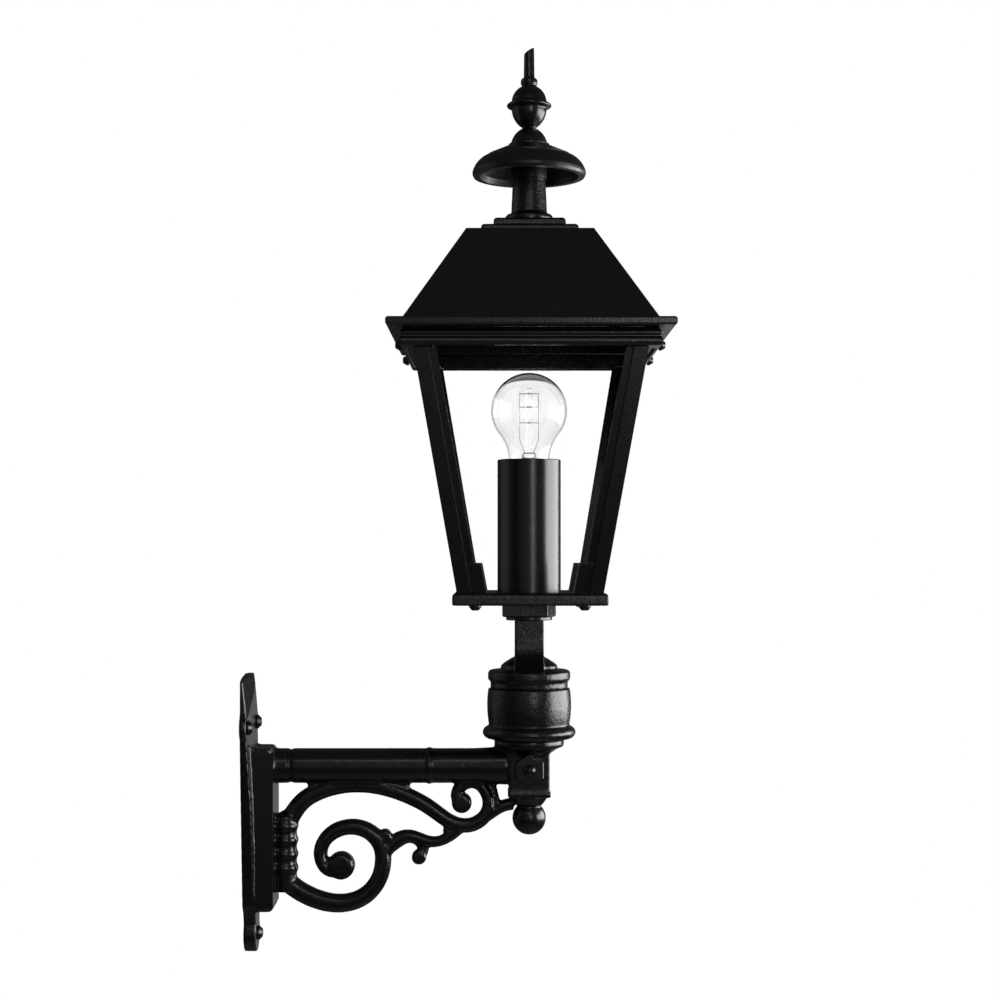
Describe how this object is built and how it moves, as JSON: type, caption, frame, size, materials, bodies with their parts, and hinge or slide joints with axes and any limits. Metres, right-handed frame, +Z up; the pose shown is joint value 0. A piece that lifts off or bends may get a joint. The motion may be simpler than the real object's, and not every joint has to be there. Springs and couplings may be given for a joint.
{
  "type": "wall lamp with scroll bracket arm",
  "caption": "Black cast wall bracket with a round arm and scrollwork that carries an open tapered lantern with a vented roof and a clear bulb on a tube.",
  "frame": {"origin": "middle of the wall plate's back face, where it meets the wall", "axes": "+X straight out from the wall along the arm, +Z up, +Y towards the wall lamp's left side seen from the wall"},
  "size_m": [0.331, 0.214, 0.7135],
  "materials": {
    "black_casting": "satin, cast texture",
    "black_frame": "satin",
    "black_sheet": "smooth satin",
    "black_steel": "satin",
    "plain_steel": "zinc plated",
    "white_holder": "glazed",
    "bulb_brass": "bright",
    "bulb_glass": "clear",
    "bulb_mount_glass": "clear",
    "bulb_wire": "fine wire"
  },
  "bodies": {
    "root": {"bracket_arm": "black_casting", "wall_bolts": "black_steel", "clamp_bolt": "black_steel", "clamp_nut": "black_steel", "drop_finial": "black_casting", "wiring_drum": "black_casting", "drum_cover": "black_casting", "stem_washer": "black_steel", "lock_nut": "black_steel", "conduit": "plain_steel", "back_nut": "plain_steel", "base_plate": "black_casting", "foot_bolts": "black_steel", "post_front_left": "black_frame", "post_front_right": "black_frame", "post_back_left": "black_frame", "post_back_right": "black_frame", "top_rail": "black_frame", "corner_screws": "black_steel", "roof_rim": "black_casting", "side_bolts": "black_steel", "roof": "black_sheet", "chimney": "black_casting", "chimney_cap": "black_sheet", "finial": "black_casting", "lamp_tube": "black_sheet", "lampholder": "white_holder", "bulb_cap": "bulb_brass", "bulb_glass": "bulb_glass", "bulb_mount": "bulb_mount_glass", "filament": "bulb_wire"}
  },
  "joints": []
}
